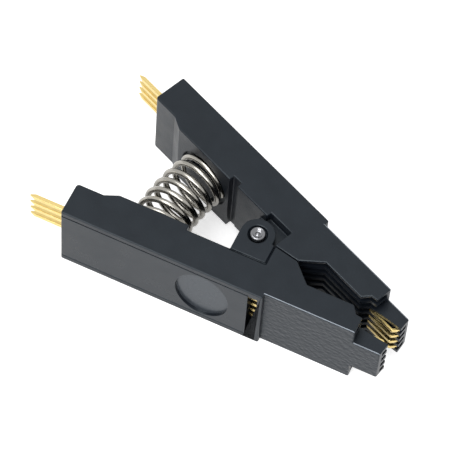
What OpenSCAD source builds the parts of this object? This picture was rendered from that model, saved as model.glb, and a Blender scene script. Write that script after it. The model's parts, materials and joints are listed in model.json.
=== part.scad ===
// Spring-loaded test clip for an eight-lead chip package, lying on its side.
// Two identical lever mouldings, one flipped over, turn about a pin along Z.
// Jaws point along +X, contact posts along -X. Lengths in millimetres.

/* [Lever] */
// Angle between each lever and the centre line with the jaws closed
lever_angle = 11.75; // [9:0.25:14]
// Height of the mouldings along the pin
body_height = 10.4; // [9.5:0.1:13]
// Rear end of the grip, behind the pin
grip_rear = 21.2; // [19:0.1:26]
// Front end of the raised grip, ahead of the pin
grip_front = 3.95; // [3.8:0.05:5]
// Front end of the full-height jaw, ahead of the pin
jaw_front = 15; // [13.5:0.1:18]
// Outer grip face, from the pin's plane
grip_face = 7.35; // [7:0.05:9]
// Set-back of the grained front face from the grip face
front_setback = 0.6; // [0.3:0.05:0.9]
// Inner face at the thin rear end, from the pin's plane
rear_inner = 3.1; // [2.8:0.05:3.5]
// Inner face at the spring seat
seat_inner = 2.35; // [2.2:0.05:2.7]
// Inner face beside the hinge
hinge_inner = 3.05; // [2.9:0.05:3.4]
// Length of the thin rear end
thin_length = 3.35; // [2:0.05:4]
// Length of the slope from the thin end to the spring seat
thin_slope = 1.65; // [1:0.05:2.5]
// Front end of the spring seat pad, behind the pin
seat_front = 7.45; // [7.2:0.05:8]
// Corner radius of the moulding's upright edges
corner_radius = 0.4; // [0.1:0.05:0.6]

/* [Hinge] */
// Pin radius
pin_radius = 0.9; // [0.7:0.05:1.1]
// Radial running clearance of the pin in the ears
pin_clearance = 0.03; // [0.02:0.01:0.08]
// Height of the pin's head above the moulding
pin_proud = 0.25; // [0.1:0.05:0.5]
// Outer radius of the ears
ear_radius = 2.05; // [1.8:0.05:2.2]
// Height of the outermost ear
outer_ear = 1.3; // [1:0.1:2]
// Gap between stacked ears
ear_gap = 0.16; // [0.1:0.02:0.3]
// Clearance from an ear to the other lever's stop block
ear_clearance = 0.28; // [0.2:0.02:0.4]
// Half of the gap between the closed stop faces
stop_gap = 0.05; // [0.02:0.01:0.1]
// Front end of the stop faces, ahead of the pin
stop_front = 5.5; // [5:0.1:6]
// Rear end of the shoulder pad, behind the pin
shoulder_rear = 6.2; // [5.5:0.1:6.6]
// Front end of the shoulder pad, behind the pin
shoulder_front = 1.1; // [0.9:0.1:1.8]
// Inner face of the shoulder pad
shoulder_inner = 2.4; // [2.35:0.05:2.7]
// Radius of the relief round the pin's head
relief_radius = 1.12; // [1:0.02:1.4]
// Depth of the relief round the pin's head
relief_depth = 0.35; // [0.2:0.05:0.6]
// Width and depth of the fine line round the ear's root
root_line = 0.14; // [0.08:0.02:0.2]

/* [Jaw] */
// Foot of the slope behind the chip space, ahead of the pin
slope_front = 7.7; // [7.2:0.1:8.5]
// Inner face of the jaw
jaw_inner = 3.45; // [3.2:0.05:3.8]
// Start of the step before the tip, ahead of the pin
step_rear = 13.5; // [12.5:0.1:14]
// Length of the step before the tip
step_length = 0.7; // [0.4:0.05:1]
// Inner face at the root of the tip
tip_inner = 4.45; // [4.2:0.05:4.7]
// Inner face at the end of the tip
nose_inner = 5.15; // [4.9:0.05:5.4]
// End of the tip on its outer side, beyond the full-height jaw
tip_outer_reach = 3.27; // [2.5:0.05:4]
// End of the tip on its inner side, beyond the full-height jaw
tip_inner_reach = 3.63; // [2.8:0.05:4.4]
// Thickness of the ribs of the comb
rib_width = 0.34; // [0.25:0.02:0.45]
// Depth of the outer slots of the comb
slot_depth = 1.5; // [1:0.1:1.8]
// Wall outside the deep slots
slot_wall = 0.57; // [0.4:0.02:0.8]

/* [Contacts] */
// Spacing of the contacts
pitch = 1.27; // [1.2:0.01:1.35]
// Contacts in one lever
contact_count = 4; // [4:1:4]
// Width of a contact strip along the pin's direction
strip_width = 0.5; // [0.35:0.05:0.6]
// Thickness of a contact strip
strip_thickness = 0.25; // [0.15:0.05:0.3]
// Side of a square post
post_side = 0.5; // [0.4:0.02:0.64]
// Length of a post outside the grip
post_length = 5; // [3:0.1:8]
// Length of a post's taper
post_taper = 0.65; // [0.3:0.05:1]
// Side of a post's blunt point
post_point = 0.14; // [0.1:0.02:0.2]
// Distance of the posts from the pin's plane
post_plane = 5.1; // [4.9:0.05:5.3]
// Wall that holds the posts
post_wall = 1.7; // [1.2:0.1:2.5]
// Clearance round a post in its hole
post_clearance = 0.03; // [0.02:0.01:0.08]
// Contact plane under the cover
strip_plane = 6.0; // [5.9:0.02:6.1]
// Gap round a strip in its groove
strip_gap = 0.1; // [0.06:0.02:0.16]
// Start of the finger's bend, behind the jaw's front
bend_rear = 4.5; // [3.5:0.1:6]
// Finger's distance from the pin's plane as it leaves the comb
finger_root = 4.85; // [4.7:0.05:5]
// Finger's distance from the pin's plane at the knee
knee_plane = 4.6; // [4.5:0.02:4.8]
// Knee's distance behind the end of the tip
knee_back = 0.85; // [0.6:0.05:1.2]
// Foot's run past the knee
foot_run = 0.5; // [0.3:0.05:0.6]
// Foot's outward rise past the knee
foot_rise = 0.75; // [0.5:0.05:0.9]

/* [Cover] */
// Thickness of the cover plate
cover_thickness = 0.95; // [0.8:0.05:1.2]
// Rim of the moulding above and below the cover
cover_rim = 0.85; // [0.6:0.05:1.1]
// Gap round the cover
cover_gap = 0.1; // [0.05:0.01:0.15]
// Front end of the cover, ahead of the pin
cover_front = 2.2; // [1.8:0.05:2.6]
// Length of the window in front of the cover
window_length = 1.1; // [0.8:0.05:1.3]
// Margin of the window at the moulding's ear side
window_closed_margin = 1.1; // [0.9:0.05:1.5]
// Margin of the window at the moulding's plain side
window_open_margin = 0.25; // [0.2:0.05:0.6]
// Depth of the window
window_depth = 2.2; // [1.6:0.1:2.6]
// Thumb recess centre, behind the pin
thumb_back = 3.4; // [3:0.1:5]
// Thumb recess half length along the lever
thumb_half_length = 3.3; // [2.8:0.1:3.6]
// Margin between the thumb recess and the cover's edge
thumb_margin = 0.2; // [0.1:0.05:1]
// Depth of the thumb recess
thumb_depth = 0.4; // [0.2:0.05:0.5]
// Radius of the cover's pegs
peg_radius = 0.45; // [0.3:0.05:0.5]
// Length of the cover's pegs
peg_length = 1.2; // [0.8:0.1:1.6]
// Rear pair of pegs, behind the pin
peg_rear = 18.4; // [17:0.1:19]
// Middle pair of pegs, behind the pin
peg_middle = 9.5; // [8:0.1:11]
// Distance of the pegs from the cover's edge
peg_edge = 0.95; // [0.8:0.05:1.2]

/* [Spring] */
// Outer radius of the coil
spring_radius = 3.45; // [3.2:0.05:3.5]
// Wire diameter
wire = 0.6; // [0.4:0.05:0.7]
// Number of turns
turns = 7.5; // [6.5:0.5:8.5]
// Closed turns at each end
closed_turns = 0.8; // [0.5:0.1:1]
// Spring centre, behind the pin
spring_back = 11.7; // [11.4:0.05:12]
// Depth of the spring's seat
seat_depth = 0.5; // [0.3:0.05:0.8]
// Gap round the coil in its seat
seat_gap = 0.2; // [0.1:0.05:0.3]
// Height of the boss inside the coil
boss_height = 1.1; // [0.8:0.1:1.4]
// Gap between the boss and the coil
boss_gap = 0.4; // [0.3:0.05:0.6]
// Gap under the end turns
end_gap = 0.03; // [0.02:0.01:0.05]

/* [Hidden] */
black = "#2c2f35";
gold = "#d6a437";
steel = "#b9bcc0";
over = 0.5;
half = body_height / 2;
slope = tan(lever_angle);
front_face = grip_face - front_setback;
cover_seat = grip_face - cover_thickness;
cover_half = half - cover_rim;
bar_rear = cover_front + window_length;
window_low = -half + window_closed_margin;
window_high = half - window_open_margin;
stop_rear = ear_radius + ear_clearance;
step_front = step_rear + step_length;
tip_outer = jaw_front + tip_outer_reach;
tip_inner_end = jaw_front + tip_inner_reach;
tip_height = contact_count * pitch + rib_width;
slot_width = pitch - rib_width;
slot_count = 2 * floor(body_height / (2 * pitch));
slot_floor = front_face - slot_wall;
strip_half = strip_thickness / 2;
groove_floor = strip_plane - strip_half - strip_gap / 2;
groove_width = strip_width + 2 * strip_gap;
post_front = post_wall + 2 * strip_gap;
knee_at = tip_inner_end - knee_back;
seat_floor = seat_inner + seat_depth;
coil_radius = spring_radius - wire / 2;
peg_height = cover_half - peg_edge;
inner_layer = half - outer_ear;
// the joint axis sits so that the whole clip is centred on the origin
rear_x = (grip_rear + post_length) * cos(lever_angle)
    - (post_plane - post_point / 2) * sin(lever_angle);
front_x = max(tip_outer * cos(lever_angle) + front_face * sin(lever_angle),
    tip_inner_end * cos(lever_angle) + nose_inner * sin(lever_angle));
hinge_x = (rear_x - front_x) / 2;

function unit(v) = v / norm(v);
function normal(a, b) = let (d = unit(b - a)) [-d[1], d[0]];
// arc of radius r in place of the corner b
function fillet(a, b, c, r, n) =
    r <= 0 ? [b] :
    let (d1 = unit(a - b), d2 = unit(c - b), turn = acos(d1 * d2) / 2,
        m = b + unit(d1 + d2) * r / sin(turn),
        s = b + d1 * r / tan(turn) - m, e = b + d2 * r / tan(turn) - m,
        a0 = atan2(s[1], s[0]), a1 = atan2(e[1], e[0]),
        sweep = ((a1 - a0 + 540) % 360) - 180)
    [for (i = [0:n]) m + r * [cos(a0 + sweep * i / n), sin(a0 + sweep * i / n)]];
// outline whose corners are [x, y, radius]
function rounded(p, n = 5) = let (c = len(p))
    [for (i = [0:c - 1]) each fillet([p[(i + c - 1) % c][0], p[(i + c - 1) % c][1]],
        [p[i][0], p[i][1]], [p[(i + 1) % c][0], p[(i + 1) % c][1]], p[i][2], n)];
// side of a strip of half thickness h along the path p
function side(p, h) = let (c = len(p))
    [for (i = [0:c - 1]) let (n1 = normal(p[max(i - 1, 0)], p[max(i, 1)]),
        n2 = normal(p[min(i, c - 2)], p[min(i + 1, c - 1)]), m = unit(n1 + n2))
        p[i] + m * h / (m * n1)];
function oval(a, b, n = 48) = [for (i = [0:n - 1]) [a * cos(i * 360 / n), b * sin(i * 360 / n)]];
function reverse(p) = [for (i = [len(p) - 1:-1:0]) p[i]];
// path with its inner corners rounded
function eased(p, r, n = 4) = [for (i = [0:len(p) - 1])
    each (i == 0 || i == len(p) - 1 ? [p[i]] : fillet(p[i - 1], p[i], p[i + 1], r, n))];

// sets a piece of the left lever in place
module at_left() { translate([hinge_x, 0, half]) rotate([0, 0, -lever_angle]) children(); }
// sets the same piece in the right lever, flipped over
module at_right() { translate([hinge_x, 0, half]) rotate([0, 0, lever_angle]) rotate([180, 0, 0]) children(); }
// flat outline raised between two heights
module between(low, high) { translate([0, 0, low]) linear_extrude(high - low) children(); }
// box from corner to corner
module block(a, b) { translate(a) cube(b - a); }
// cylinder along the lever's outward direction
module outward(u, from, to, z, r) { translate([u, from, z]) rotate([-90, 0, 0]) cylinder(r = r, h = to - from, $fn = 48); }
module centred(thick) { translate([0, 0, -thick / 2]) linear_extrude(thick) children(); }

// inner side of the jaw, from the stop to the end of the full-height part
function jaw_line() = [[stop_front, stop_front * slope + stop_gap], [slope_front, jaw_inner],
    [step_rear, jaw_inner], [step_front, tip_inner]];
function tip_line(u) = tip_inner + (nose_inner - tip_inner) * (u - step_front) / (tip_inner_end - step_front);

module lever_plan() {
    j = jaw_line();
    polygon(rounded([
        [-grip_rear, grip_face, corner_radius / 2], [grip_front, grip_face, corner_radius / 2],
        [grip_front, front_face, 0], [tip_outer, front_face, corner_radius / 2],
        [tip_inner_end, nose_inner, corner_radius / 4], [j[3][0], j[3][1], 0], [j[2][0], j[2][1], 0],
        [j[1][0], j[1][1], 0], [j[0][0], j[0][1], 0],
        [stop_rear, stop_rear * slope + stop_gap, 0], [stop_rear, hinge_inner, 0],
        [-seat_front, hinge_inner, 0], [-seat_front, seat_inner, 0],
        [-grip_rear + thin_length + thin_slope, seat_inner, corner_radius],
        [-grip_rear + thin_length, rear_inner, corner_radius],
        [-grip_rear, rear_inner, corner_radius]]));
}

// ear with its web to the lever and to its own stop block
module ear_plan() {
    circle(r = ear_radius, $fn = 64);
    polygon([[-ear_radius, 0], [0, 0], [stop_rear + over, (stop_rear + over) * slope + stop_gap],
        [stop_rear + over, hinge_inner + over], [-ear_radius, hinge_inner + over]]);
}

module comb_slot(deep) {
    j = jaw_line();
    reach = deep ? tip_inner_end + over : jaw_front + over;
    floor_end = min(tip_line(jaw_front) + slot_depth, slot_floor);
    polygon(concat([[j[0][0], -over], [reach, -over]],
        deep ? [[reach, slot_floor], [j[1][0] + 1, slot_floor]]
            : [[reach, floor_end], [step_front, floor_end], [step_rear, jaw_inner + slot_depth]],
        [[j[1][0], jaw_inner + slot_depth], [j[0][0], j[0][1] + slot_depth]]));
}

module contact_ways(z) {
    w = groove_width / 2;
    // groove under the cover and tunnel to the jaw
    block([-grip_rear + post_wall, groove_floor, z - w],
        [slope_front + 2, strip_plane + strip_half + strip_gap, z + w]);
    block([-grip_rear + post_wall, groove_floor, z - w], [cover_front + over, cover_seat + over, z + w]);
    // room for the post's shoulder
    block([-grip_rear + post_wall, post_plane - post_side / 2 - strip_gap, z - w],
        [-grip_rear + post_wall + 2, cover_seat + over, z + w]);
    // square hole for the post
    p = post_side / 2 + post_clearance;
    block([-grip_rear - over, post_plane - p, z - p], [-grip_rear + post_wall + over, post_plane + p, z + p]);
}

// outline of the cover's pocket and the window, with the moulding's height downwards
module pocket_plan() {
    polygon([[-grip_rear - over, -cover_half], [cover_front, -cover_half], [cover_front, -window_high],
        [bar_rear, -window_high], [bar_rear, -window_low], [cover_front, -window_low],
        [cover_front, cover_half], [-grip_rear - over, cover_half]]);
}

function contact_z(i) = (i - (contact_count - 1) / 2) * pitch;
function slot_z(i) = (i - (slot_count - 1) / 2) * pitch;

// one moulding, in the left lever's place: X along the lever, Y outward
module lever() {
    difference() {
        union() {
            centred(body_height) lever_plan();
            // shoulder pad beside the ears
            block([-shoulder_rear, shoulder_inner, -inner_layer],
                [-shoulder_front, hinge_inner + over, half]);
            // ears of this lever
            between(-half, -inner_layer - ear_gap / 2) ear_plan();
            between(ear_gap / 2, inner_layer - ear_gap / 2) ear_plan();
            // boss inside the coil
            outward(-spring_back, seat_floor - boss_height, seat_floor + over, 0,
                coil_radius - wire / 2 - boss_gap);
        }
        // steps above and below the narrow tip
        for (low = [-half - over, tip_height / 2])
            block([jaw_front, -over, low], [tip_inner_end + over, front_face + over, low + half + over - tip_height / 2]);
        // pin bore and the relief round the head
        translate([0, 0, -half - over])
            cylinder(r = pin_radius + pin_clearance, h = body_height + 2 * over, $fn = 48);
        translate([0, 0, -half - over]) cylinder(r = relief_radius, h = relief_depth + over, $fn = 48);
        // fine line round the ear's root
        between(-half - over, -half + root_line) polygon([
            [-ear_radius - root_line, hinge_inner], [stop_rear, hinge_inner], [stop_rear, 0],
            [stop_rear + root_line, 0], [stop_rear + root_line, hinge_inner + root_line],
            [-ear_radius - root_line, hinge_inner + root_line]]);
        // ring seat of the spring
        difference() {
            outward(-spring_back, seat_inner - boss_height - over, seat_floor, 0, spring_radius + seat_gap);
            outward(-spring_back, seat_inner - boss_height - 2 * over, seat_floor + over, 0,
                coil_radius - wire / 2 - boss_gap);
        }
        // comb of the jaw: deep slots carry the contacts
        for (i = [0:slot_count - 1])
            let (deep = abs(slot_z(i)) < contact_count * pitch / 2)
            translate([0, 0, slot_z(i)]) centred(slot_width) comb_slot(deep);
        // pocket for the cover, and the window in front of it
        translate([0, cover_seat, 0]) rotate([-90, 0, 0]) linear_extrude(cover_thickness + over) pocket_plan();
        block([cover_front, grip_face - window_depth, window_low], [bar_rear, cover_seat + over, window_high]);
        for (i = [0:contact_count - 1]) contact_ways(contact_z(i));
        // holes for the cover's pegs
        for (u = [peg_rear, peg_middle], s = [-1, 1])
            outward(-u, cover_seat - peg_length - cover_gap, cover_seat + over, s * peg_height,
                peg_radius + cover_gap / 2);
    }
}

module cover() {
    edge = cover_half - cover_gap;
    difference() {
        union() {
            centred(2 * edge) polygon(rounded([
                [-grip_rear, cover_seat, 0], [cover_front, cover_seat, 0],
                [cover_front, grip_face, 0], [-grip_rear, grip_face, corner_radius / 2]]));
            for (u = [peg_rear, peg_middle], s = [-1, 1])
                outward(-u, cover_seat - peg_length, cover_seat + over / 2, s * peg_height, peg_radius);
        }
        translate([-thumb_back, grip_face - thumb_depth, 0]) rotate([-90, 0, 0])
            linear_extrude(thumb_depth + over)
            polygon(oval(thumb_half_length, edge - thumb_margin));
    }
}

// one contact: square post, strip under the cover, sprung finger with its knee
module contact(z) {
    start = -grip_rear + post_front;
    path = eased([[start - over, post_plane], [start + 0.5, post_plane], [start + 1.2, strip_plane],
        [jaw_front - bend_rear, strip_plane], [step_front, finger_root], [knee_at, knee_plane],
        [knee_at + foot_run, knee_plane + foot_rise]], 0.22);
    h = post_side / 2;
    tail = -grip_rear - post_length;
    taper = tail + post_taper;
    outline = [[tail, -post_point / 2], [taper, -h], [start, -h], [start, h], [taper, h], [tail, post_point / 2]];
    translate([0, 0, z]) {
        centred(strip_width) polygon(concat(side(path, strip_half), reverse(side(path, -strip_half))));
        translate([0, post_plane, 0]) intersection() {
            centred(post_side) polygon(outline);
            rotate([90, 0, 0]) centred(post_side) polygon(outline);
        }
    }
}

// pin with a dished head, clear of the floor at its tail
module hinge_pin() {
    top = body_height + pin_proud;
    r = pin_radius;
    color(steel) translate([hinge_x, 0, 0]) rotate_extrude($fn = 48) polygon(concat(
        [[0, relief_depth / 2], [r * 0.8, relief_depth / 2], [r, relief_depth]],
        [for (a = [0:15:90]) [r * 0.75 + r * 0.25 * cos(a), top - r * 0.25 + r * 0.25 * sin(a)]],
        [[r * 0.62, top - 0.05], [r * 0.4, top - 0.16], [r * 0.2, top - 0.12], [0, top - 0.08]]));
}

// helix on a bent axis whose ends stand square on the two seats
module spring() {
    steps = 28;
    ring = 8;
    seat = seat_floor - wire / 2 - end_gap;
    mid_y = spring_back * sin(lever_angle) + seat * cos(lever_angle);
    bend = mid_y / sin(lever_angle);
    centre_x = hinge_x - spring_back * cos(lever_angle) + seat * sin(lever_angle) + bend * cos(lever_angle);
    count = round(turns * steps);
    close = closed_turns / turns;
    // share of the length at share t of the turns: flat at both ends
    closed_rise = close * turns * wire * 1.02 / (2 * mid_y);
    function rise(t) = t < close ? closed_rise * t / close
        : t > 1 - close ? 1 - closed_rise * (1 - t) / close
        : closed_rise + (1 - 2 * closed_rise) * (t - close) / (1 - 2 * close);
    function at(t) = let (b = lever_angle * (2 * rise(t) - 1), a = 360 * turns * t,
        out = [-cos(b), sin(b), 0])
        [centre_x, 0, half] + bend * out + coil_radius * (cos(a) * out + [0, 0, sin(a)]);
    color(steel) polyhedron(
        points = [for (i = [0:count]) let (t = i / count, p = at(t), b = lever_angle * (2 * rise(t) - 1),
            a = 360 * turns * t, o = [-cos(b), sin(b), 0] * cos(a) + [0, 0, sin(a)],
            d = unit(at(min(t + 0.001, 1)) - at(max(t - 0.001, 0))), w = unit(cross(d, o)))
            for (k = [0:ring - 1]) p + wire / 2 * (o * cos(k * 360 / ring) + w * sin(k * 360 / ring))],
        faces = concat([[for (k = [0:ring - 1]) k]], [[for (k = [ring - 1:-1:0]) count * ring + k]],
            [for (i = [0:count - 1], k = [0:ring - 1]) let (n = (k + 1) % ring)
                [i * ring + k, (i + 1) * ring + k, (i + 1) * ring + n, i * ring + n]]));
}

module right_lever() { color(black) at_right() lever(); }
module left_lever() { color(black) at_left() lever(); }
module right_cover() { color(black) at_right() cover(); }
module left_cover() { color(black) at_left() cover(); }
module right_contact(i) { color(gold) at_right() contact(contact_z(i)); }
module left_contact(i) { color(gold) at_left() contact(contact_z(i)); }

right_lever();
left_lever();
right_cover();
left_cover();
hinge_pin();
spring();
right_contact(0);  // right_contact_1
right_contact(1);  // right_contact_2
right_contact(2);  // right_contact_3
right_contact(3);  // right_contact_4
left_contact(0);  // left_contact_1
left_contact(1);  // left_contact_2
left_contact(2);  // left_contact_3
left_contact(3);  // left_contact_4
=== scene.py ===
"""Spring-loaded test clip for an eight-lead chip package, lying on its side on a pale bench."""

import json
import math

import bmesh
import bpy
from mathutils import Matrix, Vector


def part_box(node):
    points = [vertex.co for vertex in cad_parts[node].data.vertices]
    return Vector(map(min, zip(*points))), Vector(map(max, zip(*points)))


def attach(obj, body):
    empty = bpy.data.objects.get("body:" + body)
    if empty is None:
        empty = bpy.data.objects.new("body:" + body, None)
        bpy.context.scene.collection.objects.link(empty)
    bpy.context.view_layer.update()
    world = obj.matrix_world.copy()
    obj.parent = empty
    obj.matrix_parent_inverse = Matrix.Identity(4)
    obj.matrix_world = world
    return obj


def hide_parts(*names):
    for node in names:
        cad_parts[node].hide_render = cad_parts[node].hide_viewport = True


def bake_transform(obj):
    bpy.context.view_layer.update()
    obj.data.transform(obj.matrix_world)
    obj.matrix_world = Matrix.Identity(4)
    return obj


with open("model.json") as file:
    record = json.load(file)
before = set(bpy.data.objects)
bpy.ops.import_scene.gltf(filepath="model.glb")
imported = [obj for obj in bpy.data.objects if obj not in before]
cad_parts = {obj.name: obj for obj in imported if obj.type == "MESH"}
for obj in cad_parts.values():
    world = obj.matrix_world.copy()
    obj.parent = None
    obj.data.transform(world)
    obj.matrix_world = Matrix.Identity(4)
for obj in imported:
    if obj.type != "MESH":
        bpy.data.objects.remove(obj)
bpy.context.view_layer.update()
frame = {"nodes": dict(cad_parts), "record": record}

MM = 0.001

# ---------------------------------------------------------------- sizes the pieces share
LEVER_ANGLE = math.radians(11.75)
joint = frame["record"]["behaviour"]["joints"][0]
HINGE = Vector(joint["pos_m"])
CLIP_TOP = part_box("left_lever")[1].z
HALF = CLIP_TOP / 2

GRIP_FACE = 7.35 * MM
FRONT_FACE = 6.75 * MM
GRIP_FRONT = 3.95 * MM
STOP_FRONT = 5.5 * MM

MERGE_DISTANCE = 0.0004 * MM
FLAT_ANGLE = math.radians(0.6)
SHARP_ANGLE = math.radians(28)


# ---------------------------------------------------------------- working helpers
def leave_nothing_selected():
    """An operator acts on everything that is selected, so the selection starts empty."""
    if bpy.context.object and bpy.context.object.mode != "OBJECT":
        bpy.ops.object.mode_set(mode="OBJECT")
    bpy.ops.object.select_all(action="DESELECT")


def work_on(piece):
    leave_nothing_selected()
    bpy.context.view_layer.objects.active = piece
    piece.select_set(True)


def merged_copy(node, name):
    """The CAD solid with its loose triangles joined and its flat faces made whole."""
    piece = frame["nodes"][node].copy()
    piece.data = piece.data.copy()
    piece.name = name
    piece.parent = None
    piece.data.materials.clear()
    bpy.context.scene.collection.objects.link(piece)
    piece.matrix_world = Matrix.Identity(4)
    work_on(piece)
    bpy.ops.object.mode_set(mode="EDIT")
    bpy.ops.mesh.select_all(action="SELECT")
    bpy.ops.mesh.remove_doubles(threshold=MERGE_DISTANCE)
    bpy.ops.mesh.dissolve_limited(angle_limit=FLAT_ANGLE)
    bpy.ops.mesh.select_all(action="DESELECT")
    bpy.ops.object.mode_set(mode="OBJECT")
    return piece


def lever_place(point, side):
    """A point of the clip seen from one lever: along it, outward, and up."""
    flat = point - HINGE
    along = flat.x * math.cos(LEVER_ANGLE) - side * flat.y * math.sin(LEVER_ANGLE)
    outward = flat.x * math.sin(LEVER_ANGLE) + side * flat.y * math.cos(LEVER_ANGLE)
    return Vector((along, outward, point.z - HALF))


def lever_direction(vector, side):
    """A direction seen from one lever, in the same order."""
    along = vector.x * math.cos(LEVER_ANGLE) - side * vector.y * math.sin(LEVER_ANGLE)
    outward = vector.x * math.sin(LEVER_ANGLE) + side * vector.y * math.cos(LEVER_ANGLE)
    return Vector((along, outward, vector.z))


def round_edges(piece, width, segments, wanted):
    """Rounds the sharp edges that wanted(edge) chooses."""
    mesh = piece.data
    shape = bmesh.new()
    shape.from_mesh(mesh)
    weight = shape.edges.layers.float.get("bevel_weight_edge") or shape.edges.layers.float.new(
        "bevel_weight_edge"
    )
    for edge in shape.edges:
        sharp = len(edge.link_faces) == 2 and edge.calc_face_angle(0) > SHARP_ANGLE
        edge[weight] = 1.0 if sharp and wanted(edge) else 0.0
    shape.to_mesh(mesh)
    shape.free()
    bevel = piece.modifiers.new("round edges", "BEVEL")
    bevel.limit_method = "WEIGHT"
    bevel.width = width
    bevel.segments = segments
    bevel.use_clamp_overlap = False
    bevel.miter_outer = "MITER_SHARP"
    bevel.harden_normals = False
    work_on(piece)
    bpy.ops.object.modifier_apply(modifier=bevel.name)


def smooth_rounds(piece, degrees=32):
    """Smooth shading over the rounded edges, while the large flat faces stay flat."""
    work_on(piece)
    bpy.ops.object.shade_smooth_by_angle(angle=math.radians(degrees))
    flatten = piece.modifiers.new("flat faces", "WEIGHTED_NORMAL")
    flatten.mode = "FACE_AREA"
    flatten.weight = 100
    flatten.keep_sharp = True
    bpy.ops.object.modifier_apply(modifier=flatten.name)


# ---------------------------------------------------------------- materials
def linear(hex_colour):
    """An sRGB hex colour as the linear values that the shader reads."""
    channels = [int(hex_colour[i : i + 2], 16) / 255 for i in (1, 3, 5)]
    return [c / 12.92 if c <= 0.04045 else ((c + 0.055) / 1.055) ** 2.4 for c in channels] + [1.0]


def new_material(name):
    material = bpy.data.materials.new(name)
    material.use_nodes = True
    material.node_tree.nodes.clear()
    return material


def add(material, kind, links=(), **settings):
    """Adds a node. A link is (socket of the new node, source node, source socket)."""
    made = material.node_tree.nodes.new(kind)
    for key, value in settings.items():
        if key.startswith("in_"):
            socket = key[3:]
            made.inputs[int(socket) if socket.isdigit() else socket.replace("_", " ")].default_value = value
        else:
            setattr(made, key, value)
    for socket, source, output in links:
        material.node_tree.links.new(source.outputs[output], made.inputs[socket])
    return made


def colour_mix(material, factor, first, second):
    """A colour that runs from the first to the second with the Fac output of a noise."""
    mix = add(material, "ShaderNodeMix", [("Factor", factor, "Fac")], data_type="RGBA")
    mix.inputs[MIX_FIRST].default_value = first
    mix.inputs[MIX_SECOND].default_value = second
    return mix


# colour sockets of a mix node, whose names repeat for each data type
MIX_FIRST, MIX_SECOND = 6, 7
PLASTIC_IOR = 1.4
BLUISH = (0.84, 0.94, 1.0, 1.0)
# how much lighter the pale end of a nylon's mottle is
MOTTLE_GAIN, GRAIN_GAIN = 1.35, 1.5


def moulded_plastic(name, colour, roughness, grain_size, grain_depth):
    """Black glass-filled nylon, injection moulded against a spark-eroded steel tool.
    The eye sees a soft, even sheen with a fine tooth, and a faint mottle in the gloss."""
    m = new_material(name)
    place = add(m, "ShaderNodeTexCoord")
    tooth = add(
        m,
        "ShaderNodeTexNoise",
        [("Vector", place, "Object")],
        in_Scale=1 / grain_size,
        in_Detail=3.0,
        in_Roughness=0.6,
    )
    mottle = add(
        m,
        "ShaderNodeTexNoise",
        [("Vector", place, "Object")],
        in_Scale=1 / (2.4 * MM),
        in_Detail=4.0,
        in_Roughness=0.55,
    )
    gloss = add(
        m,
        "ShaderNodeMapRange",
        [("Value", mottle, "Fac")],
        in_From_Min=0.3,
        in_From_Max=0.7,
        in_To_Min=roughness - 0.05,
        in_To_Max=roughness + 0.06,
    )
    deep = linear(colour)
    tint = colour_mix(m, mottle, deep, [c * MOTTLE_GAIN for c in deep[:3]] + [1.0])
    bump = add(
        m,
        "ShaderNodeBump",
        [("Height", tooth, "Fac")],
        in_Strength=1.0,
        in_Distance=grain_depth,
    )
    shader = add(
        m,
        "ShaderNodeBsdfPrincipled",
        [("Base Color", tint, "Result"), ("Roughness", gloss, "Result"), ("Normal", bump, "Normal")],
        in_IOR=PLASTIC_IOR,
        in_Specular_Tint=BLUISH,
    )
    add(m, "ShaderNodeOutputMaterial", [("Surface", shader, "BSDF")])
    return m


def grained_plastic(name, colour, roughness, turn):
    """The same nylon where the tool is etched with a leather grain, so that fingers don't slip.
    The eye sees short wavering ripples along the lever, about 0.45 mm apart."""
    m = new_material(name)
    place = add(m, "ShaderNodeTexCoord")
    turned = add(
        m,
        "ShaderNodeMapping",
        [("Vector", place, "Object")],
        in_Rotation=(0, 0, turn),
        in_Scale=(0.8, 1.0, 1.0),
    )
    bend = add(
        m,
        "ShaderNodeTexNoise",
        [("Vector", turned, "Vector")],
        in_Scale=1 / (0.9 * MM),
        in_Detail=2.0,
    )
    shifted = add(
        m,
        "ShaderNodeVectorMath",
        [(0, bend, "Color")],
        operation="SCALE",
        in_Scale=0.35 * MM,
    )
    warped = add(
        m,
        "ShaderNodeVectorMath",
        [(0, turned, "Vector"), (1, shifted, "Vector")],
        operation="ADD",
    )
    cells = add(
        m,
        "ShaderNodeTexVoronoi",
        [("Vector", warped, "Vector")],
        feature="SMOOTH_F1",
        in_Scale=1 / (0.5 * MM),
        in_Smoothness=0.6,
        in_Randomness=1.0,
    )
    fine = add(
        m,
        "ShaderNodeTexNoise",
        [("Vector", warped, "Vector")],
        in_Scale=1 / (0.22 * MM),
        in_Detail=3.0,
        in_Roughness=0.6,
    )
    height = add(
        m,
        "ShaderNodeMath",
        [(0, fine, "Fac"), (2, cells, "Distance")],
        operation="MULTIPLY_ADD",
        in_1=0.5,
    )
    bump = add(
        m,
        "ShaderNodeBump",
        [("Height", height, "Value")],
        in_Strength=1.0,
        in_Distance=0.05 * MM,
    )
    deep = linear(colour)
    tint = colour_mix(m, fine, deep, [c * GRAIN_GAIN for c in deep[:3]] + [1.0])
    shader = add(
        m,
        "ShaderNodeBsdfPrincipled",
        [("Base Color", tint, "Result"), ("Normal", bump, "Normal")],
        in_Roughness=roughness,
        in_IOR=PLASTIC_IOR,
        in_Specular_Tint=BLUISH,
    )
    add(m, "ShaderNodeOutputMaterial", [("Surface", shader, "BSDF")])
    return m


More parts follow.
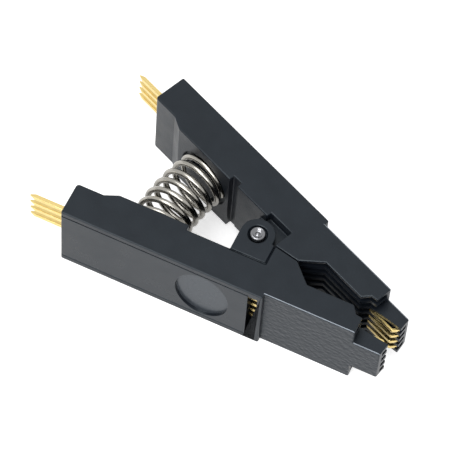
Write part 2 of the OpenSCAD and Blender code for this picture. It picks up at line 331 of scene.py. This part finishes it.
def plated_metal(name, colour, worn, roughness, streak, depth):
    """Metal with a bright electroplated skin over drawn or rolled stock.
    The eye sees clear reflections, a little broken by fine draw lines and handling."""
    m = new_material(name)
    place = add(m, "ShaderNodeTexCoord")
    patches = add(
        m,
        "ShaderNodeTexNoise",
        [("Vector", place, "Object")],
        in_Scale=1 / (0.7 * MM),
        in_Detail=4.0,
        in_Roughness=0.6,
    )
    lines = add(
        m,
        "ShaderNodeTexNoise",
        [("Vector", place, "Object")],
        in_Scale=1 / streak,
        in_Detail=2.0,
    )
    tint = colour_mix(m, patches, linear(colour), linear(worn))
    gloss = add(
        m,
        "ShaderNodeMapRange",
        [("Value", patches, "Fac")],
        in_From_Min=0.3,
        in_From_Max=0.7,
        in_To_Min=roughness * 0.8,
        in_To_Max=roughness * 1.25,
    )
    bump = add(
        m,
        "ShaderNodeBump",
        [("Height", lines, "Fac")],
        in_Strength=1.0,
        in_Distance=depth,
    )
    shader = add(
        m,
        "ShaderNodeBsdfPrincipled",
        [("Base Color", tint, "Result"), ("Roughness", gloss, "Result"), ("Normal", bump, "Normal")],
        in_Metallic=1.0,
    )
    add(m, "ShaderNodeOutputMaterial", [("Surface", shader, "BSDF")])
    return m


lever_nylon = moulded_plastic("black nylon, spark-eroded tool", "#10141a", 0.34, 0.24 * MM, 0.014 * MM)
cover_nylon = moulded_plastic("black nylon, satin tool", "#10141a", 0.30, 0.2 * MM, 0.004 * MM)
right_grain = grained_plastic("black nylon, leather grain, right", "#12161c", 0.34, LEVER_ANGLE)
left_grain = grained_plastic("black nylon, leather grain, left", "#12161c", 0.34, -LEVER_ANGLE)
# a light grey nylon that paints a highlight on the front's rounded outer edges, where a lamp's glint would
# fall
painted_highlight_nylon = moulded_plastic("black nylon, painted edge highlight", "#7d838b", 0.38, 0.12 * MM, 0.01 * MM)
# a lighter, slightly glossier nylon for the floor of the thumb recess
lighter_recess_nylon = moulded_plastic("black nylon, lighter recess floor", "#33373c", 0.26, 0.3 * MM, 0.002 * MM)
nickel_wire = plated_metal("nickel-plated music wire", "#b3b0a9", "#8f8c85", 0.2, 0.1 * MM, 0.0002 * MM)
nickel_pin = plated_metal("nickel-plated steel pin", "#8f9093", "#6f7073", 0.2, 0.1 * MM, 0.0002 * MM)
gold_plate = plated_metal("gold plate on bronze", "#efd998", "#dcc078", 0.24, 0.12 * MM, 0.0001 * MM)


# ---------------------------------------------------------------- levers and covers
PITCH = 1.27 * MM
SLOT_HALF = 0.465 * MM
RIB_GAIN = 0.09 * MM
SLOT_SIDE_SLACK = 0.004 * MM
RIBS_REAR = STOP_FRONT - 0.2 * MM
RIBS_OUTER = FRONT_FACE - 0.4 * MM

EDGE_ROUND = 0.15 * MM
COVER_EDGE_ROUND = 0.05 * MM
COMB_REAR = STOP_FRONT - 0.3 * MM
COMB_OUTER = FRONT_FACE - 0.25 * MM
GROOVE_INNER = 4 * MM
GROOVE_OUTER = GRIP_FACE - 0.05 * MM
# past this height above or below the middle, a point lies on the top or bottom face
NEAR_TOP = HALF - 0.02 * MM
LEVEL_SLACK = 0.01 * MM
SHORT_EDGE = 0.1 * MM
STEEP_RISE = 0.05 * MM

GRAIN_REAR = GRIP_FRONT + 0.05 * MM
GRAIN_INNER = FRONT_FACE - 0.15 * MM
HIGHLIGHT_INNER = FRONT_FACE - 0.2 * MM
FACES_OUTWARD, TURNS_OUTWARD = 0.75, 0.2
# material slots: the leather grain, and the painted highlight on the rounded outer edges
GRAINED, PAINTED_HIGHLIGHT = 1, 2

COVER_EDGE_INNER = GRIP_FACE - 0.5 * MM
THUMB_OUTER = GRIP_FACE - 0.3 * MM
THUMB_FACING = 0.8
THUMB_FLOOR = 1


def thicken_ribs(piece, side):
    """The comb's ribs are about as thick as its slots are wide, so each slot's sides move inward."""
    for vertex in piece.data.vertices:
        place = lever_place(vertex.co, side)
        if place.x < RIBS_REAR or place.y > RIBS_OUTER:
            continue
        slot = math.floor(place.z / PITCH) + 0.5
        offset = place.z - slot * PITCH
        if abs(abs(offset) - SLOT_HALF) < SLOT_SIDE_SLACK:
            vertex.co.z -= math.copysign(RIB_GAIN, offset)


def finish_lever(node, side, grain):
    """The moulding with its outer edges rounded as a tool leaves them, its grained front, and a painted
    highlight on the front's rounded outer edges.
    """
    piece = merged_copy(node, node + "_moulding")
    thicken_ribs(piece, side)

    def main_edge(edge):
        ends = [lever_place(v.co, side) for v in edge.verts]
        middle = (ends[0] + ends[1]) / 2
        rise = abs(ends[0].z - ends[1].z)
        in_comb = middle.x > COMB_REAR and middle.y < COMB_OUTER
        in_grooves = middle.x < STOP_FRONT and abs(middle.z) < NEAR_TOP and middle.y > GROOVE_INNER
        if in_comb:
            return abs(middle.z) > NEAR_TOP and rise < LEVEL_SLACK
        if in_grooves and middle.y < GROOVE_OUTER:
            return False
        return not ((ends[0] - ends[1]).length < SHORT_EDGE and rise > STEEP_RISE)

    round_edges(piece, EDGE_ROUND, 4, main_edge)
    piece.data.materials.append(lever_nylon)
    piece.data.materials.append(grain)
    piece.data.materials.append(painted_highlight_nylon)
    for face in piece.data.polygons:
        place = lever_place(face.center, side)
        facing = lever_direction(face.normal, side)
        if place.x <= GRAIN_REAR:
            continue
        if facing.y > FACES_OUTWARD and place.y > GRAIN_INNER:
            face.material_index = GRAINED
        # rounded outer edges of the front that turn up or down get the light grey nylon, a painted
        # highlight
        elif place.y > HIGHLIGHT_INNER and facing.y > TURNS_OUTWARD and abs(facing.z) > TURNS_OUTWARD:
            face.material_index = PAINTED_HIGHLIGHT
    smooth_rounds(piece)
    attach(piece, node.replace("lever", "side"))
    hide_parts(node)


def finish_cover(node, side):
    """The plate with its outer edges eased, and the floor of its thumb recess made lighter and a little
    glossier than the plate.
    """
    piece = merged_copy(node, node + "_plate")

    def main_edge(edge):
        middle = lever_place((edge.verts[0].co + edge.verts[1].co) / 2, side)
        return middle.y > COVER_EDGE_INNER

    round_edges(piece, COVER_EDGE_ROUND, 2, main_edge)
    piece.data.materials.append(cover_nylon)
    piece.data.materials.append(lighter_recess_nylon)
    for face in piece.data.polygons:
        place = lever_place(face.center, side)
        in_recess = COVER_EDGE_INNER < place.y < THUMB_OUTER
        if in_recess and lever_direction(face.normal, side).y > THUMB_FACING:
            face.material_index = THUMB_FLOOR
    smooth_rounds(piece)
    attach(piece, node.replace("cover", "side"))
    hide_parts(node)


finish_lever("right_lever", -1, right_grain)
finish_lever("left_lever", 1, left_grain)
finish_cover("right_cover", -1)
finish_cover("left_cover", 1)


# ---------------------------------------------------------------- spring
COIL_RADIUS = 3.13 * MM
WIRE = 0.72 * MM
TURNS = 7.5
CLOSED_TURNS = 0.8
CLOSED_SPACING = 1.02
SPRING_BACK = 11.7 * MM
SPRING_SEAT = 2.46 * MM
STEPS_PER_TURN = 48


def make_spring():
    """Seven and a half turns of round wire on an axis that bends to stand square on both seats."""
    cosine, sine = math.cos(LEVER_ANGLE), math.sin(LEVER_ANGLE)
    reach = SPRING_BACK * sine + SPRING_SEAT * cosine
    bend = reach / sine
    centre = HINGE.x - SPRING_BACK * cosine + SPRING_SEAT * sine + bend * cosine
    share = CLOSED_TURNS / TURNS
    flat = CLOSED_TURNS * WIRE * CLOSED_SPACING / (2 * reach)

    def rise(t):
        if t < share:
            return flat * t / share
        if t > 1 - share:
            return 1 - flat * (1 - t) / share
        return flat + (1 - 2 * flat) * (t - share) / (1 - 2 * share)

    curve = bpy.data.curves.new("coil", "CURVE")
    curve.dimensions = "3D"
    spline = curve.splines.new("POLY")
    steps = int(TURNS * STEPS_PER_TURN)
    spline.points.add(steps)
    for i in range(steps + 1):
        t = i / steps
        tilt = LEVER_ANGLE * (2 * rise(t) - 1)
        angle = 2 * math.pi * TURNS * t
        out = Vector((-math.cos(tilt), math.sin(tilt), 0))
        point = Vector((centre, 0, HALF)) + bend * out
        point += COIL_RADIUS * (math.cos(angle) * out + Vector((0, 0, math.sin(angle))))
        spline.points[i].co = (*point, 1)
    curve.bevel_depth = WIRE / 2
    curve.bevel_resolution = 4
    curve.use_fill_caps = True
    coil = bpy.data.objects.new("coil_spring", curve)
    bpy.context.scene.collection.objects.link(coil)
    work_on(coil)
    bpy.ops.object.convert(target="MESH")
    coil = bpy.context.object
    bpy.ops.object.mode_set(mode="EDIT")
    bpy.ops.mesh.select_all(action="SELECT")
    bpy.ops.mesh.remove_doubles(threshold=MERGE_DISTANCE)
    bpy.ops.mesh.normals_make_consistent(inside=False)
    bpy.ops.object.mode_set(mode="OBJECT")
    coil.data.materials.clear()
    coil.data.materials.append(nickel_wire)
    smooth_rounds(coil, 50)
    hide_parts("spring")
    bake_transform(coil)


make_spring()


# ---------------------------------------------------------------- pin
PIN_STEPS = 64
PIN_MERGE_DISTANCE = 0.001 * MM


def make_pin():
    """A turned pin: a dished head with a dot left in the middle by its centre drill."""
    low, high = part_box("hinge_pin")
    radius = (high.x - low.x) / 2
    top = high.z
    profile = [
        (0.0, low.z),
        (radius * 0.8, low.z),
        (radius, low.z + 0.17 * MM),
        (radius, top - 0.30 * MM),
        (radius * 0.985, top - 0.20 * MM),
        (radius * 0.93, top - 0.10 * MM),
        (radius * 0.86, top - 0.03 * MM),
        (radius * 0.79, top),
        (radius * 0.72, top - 0.02 * MM),
        (radius * 0.60, top - 0.13 * MM),
        (radius * 0.46, top - 0.21 * MM),
        (radius * 0.33, top - 0.23 * MM),
        (radius * 0.24, top - 0.17 * MM),
        (radius * 0.16, top - 0.10 * MM),
        (radius * 0.08, top - 0.07 * MM),
        (0.0, top - 0.06 * MM),
    ]
    mesh = bpy.data.meshes.new("pin")
    points = [(HINGE.x + r, 0, z) for r, z in profile]
    mesh.from_pydata(points, [(i, i + 1) for i in range(len(points) - 1)], [])
    pin = bpy.data.objects.new("turned_pin", mesh)
    bpy.context.scene.collection.objects.link(pin)
    work_on(pin)
    bpy.ops.object.mode_set(mode="EDIT")
    bpy.ops.mesh.select_all(action="SELECT")
    bpy.ops.mesh.spin(steps=PIN_STEPS, angle=2 * math.pi, center=(HINGE.x, 0, 0), axis=(0, 0, 1))
    bpy.ops.mesh.select_all(action="SELECT")
    bpy.ops.mesh.remove_doubles(threshold=PIN_MERGE_DISTANCE)
    bpy.ops.mesh.normals_make_consistent(inside=False)
    bpy.ops.object.mode_set(mode="OBJECT")
    pin.data.materials.append(nickel_pin)
    smooth_rounds(pin, 45)
    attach(pin, "right_side")
    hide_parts("hinge_pin")


make_pin()


# ---------------------------------------------------------------- contacts
FINGER_BACK = 10.5 * MM
FINGER_ROOT = 14.2 * MM
FINGER_KNEE = 17.78 * MM
FINGER_SHIFT = 0.25 * MM
CONTACT_EDGE_ROUND = 0.03 * MM
ROUNDED_EDGE_LENGTH = 0.08 * MM


def finish_contact(node, side):
    """A stamped and plated contact with eased edges. Its finger runs straighter than the solid's."""
    piece = merged_copy(node, node + "_plated")
    for vertex in piece.data.vertices:
        along = lever_place(vertex.co, side).x
        rising = (along - FINGER_BACK) / (FINGER_ROOT - FINGER_BACK)
        falling = (FINGER_KNEE - along) / (FINGER_KNEE - FINGER_ROOT)
        inward = FINGER_SHIFT * max(0.0, min(rising, falling))
        vertex.co -= inward * Vector((math.sin(LEVER_ANGLE), side * math.cos(LEVER_ANGLE), 0))
    round_edges(piece, CONTACT_EDGE_ROUND, 2, lambda edge: edge.calc_length() > ROUNDED_EDGE_LENGTH)
    piece.data.materials.append(gold_plate)
    smooth_rounds(piece)
    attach(piece, node.split("_")[0] + "_side")
    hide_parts(node)


for number in range(1, 5):
    finish_contact(f"right_contact_{number}", -1)
    finish_contact(f"left_contact_{number}", 1)


# ---------------------------------------------------------------- bench, light and camera
BENCH_SIZE = 0.8
BENCH_GAP = 0.02 * MM
BENCH_GLOW = 0.6
BENCH_MIRRORED_GLOW = 0.35
ROOM_LIGHT = 0.45
ROOM_SEEN = 1.0


def make_bench():
    """A pale matt bench top. It glows for the camera and for reflections, and keeps the shadow."""
    bpy.ops.mesh.primitive_plane_add(size=BENCH_SIZE, location=(0, 0, -BENCH_GAP))
    bench = bpy.context.object
    bench.name = "bench"
    m = new_material("white bench laminate")
    path = add(m, "ShaderNodeLightPath")
    matt = add(m, "ShaderNodeBsdfDiffuse", in_Color=linear("#f1f1f2"))
    mirrored = add(
        m,
        "ShaderNodeMath",
        [(0, path, "Is Glossy Ray")],
        operation="MULTIPLY",
        in_1=BENCH_MIRRORED_GLOW,
    )
    seen = add(
        m,
        "ShaderNodeMath",
        [(0, path, "Is Camera Ray"), (2, mirrored, "Value")],
        operation="MULTIPLY_ADD",
        in_1=BENCH_GLOW,
    )
    glow = add(m, "ShaderNodeEmission", [("Strength", seen, "Value")], in_Color=(1, 1, 1, 1))
    both = add(m, "ShaderNodeAddShader", [(0, matt, "BSDF"), (1, glow, "Emission")])
    add(m, "ShaderNodeOutputMaterial", [("Surface", both, "Shader")])
    bench.data.materials.append(m)


def make_room():
    """White surroundings for the camera and for reflections, and an even grey light from them."""
    world = bpy.data.worlds.new("studio")
    world.use_nodes = True
    world.node_tree.nodes.clear()
    bpy.context.scene.world = world
    path = add(world, "ShaderNodeLightPath")
    camera_or_gloss = add(
        world,
        "ShaderNodeMath",
        [(0, path, "Is Camera Ray"), (1, path, "Is Glossy Ray")],
        operation="MAXIMUM",
    )
    clear = add(
        world,
        "ShaderNodeMath",
        [(0, camera_or_gloss, "Value"), (1, path, "Is Transmission Ray")],
        operation="MAXIMUM",
    )
    strength = add(
        world,
        "ShaderNodeMapRange",
        [("Value", clear, "Value")],
        in_To_Min=ROOM_LIGHT,
        in_To_Max=ROOM_SEEN,
    )
    sky = add(world, "ShaderNodeBackground", [("Strength", strength, "Result")], in_Color=(1, 1, 1, 1))
    add(world, "ShaderNodeOutputWorld", [("Surface", sky, "Background")])


def softbox(name, azimuth, elevation, distance, size, power):
    """An area lamp on the side of the clip that the azimuth names, aimed at its middle."""
    a, e = math.radians(azimuth), math.radians(elevation)
    towards = Vector((math.sin(a) * math.cos(e), -math.cos(a) * math.cos(e), math.sin(e)))
    lamp = bpy.data.lights.new(name, "AREA")
    lamp.shape = "RECTANGLE"
    lamp.size, lamp.size_y = size
    lamp.energy = power
    holder = bpy.data.objects.new(name, lamp)
    bpy.context.scene.collection.objects.link(holder)
    holder.location = Vector((0, 0, HALF)) + towards * distance
    holder.rotation_euler = towards.to_track_quat("Z", "Y").to_euler()


CAMERA_AZIMUTH, CAMERA_ELEVATION, CAMERA_ROLL = (math.radians(v) for v in (32.498, 59.794, 4.936))
CAMERA_AIM = Vector((-2.4906, 1.277, 5.2)) * MM
CAMERA_DISTANCE = 387.093  # in mm
LENS = 268.2
SENSOR_WIDTH = 36


def place_camera():
    azimuth, elevation, roll = CAMERA_AZIMUTH, CAMERA_ELEVATION, CAMERA_ROLL
    level_part = math.cos(elevation)
    back = Vector((math.sin(azimuth) * level_part, -math.cos(azimuth) * level_part, math.sin(elevation)))
    level = (-back).cross(Vector((0, 0, 1))).normalized()
    upright = level.cross(-back)
    right = math.cos(roll) * level + math.sin(roll) * upright
    up = -math.sin(roll) * level + math.cos(roll) * upright
    data = bpy.data.cameras.new("camera")
    data.sensor_width = SENSOR_WIDTH
    data.lens = LENS
    data.clip_start, data.clip_end = 0.01, 5
    camera = bpy.data.objects.new("camera", data)
    bpy.context.scene.collection.objects.link(camera)
    turn = Matrix((right, up, back)).transposed().to_4x4()
    camera.matrix_world = Matrix.Translation(CAMERA_AIM + back * CAMERA_DISTANCE * MM) @ turn
    bpy.context.scene.camera = camera


make_bench()
make_room()
softbox("front softbox", azimuth=10, elevation=40, distance=0.5, size=(0.40, 0.20), power=1.4)
softbox("top softbox", azimuth=-40, elevation=74, distance=0.6, size=(0.4, 0.4), power=1.8)
place_camera()
bpy.context.scene.view_settings.view_transform = "Standard"
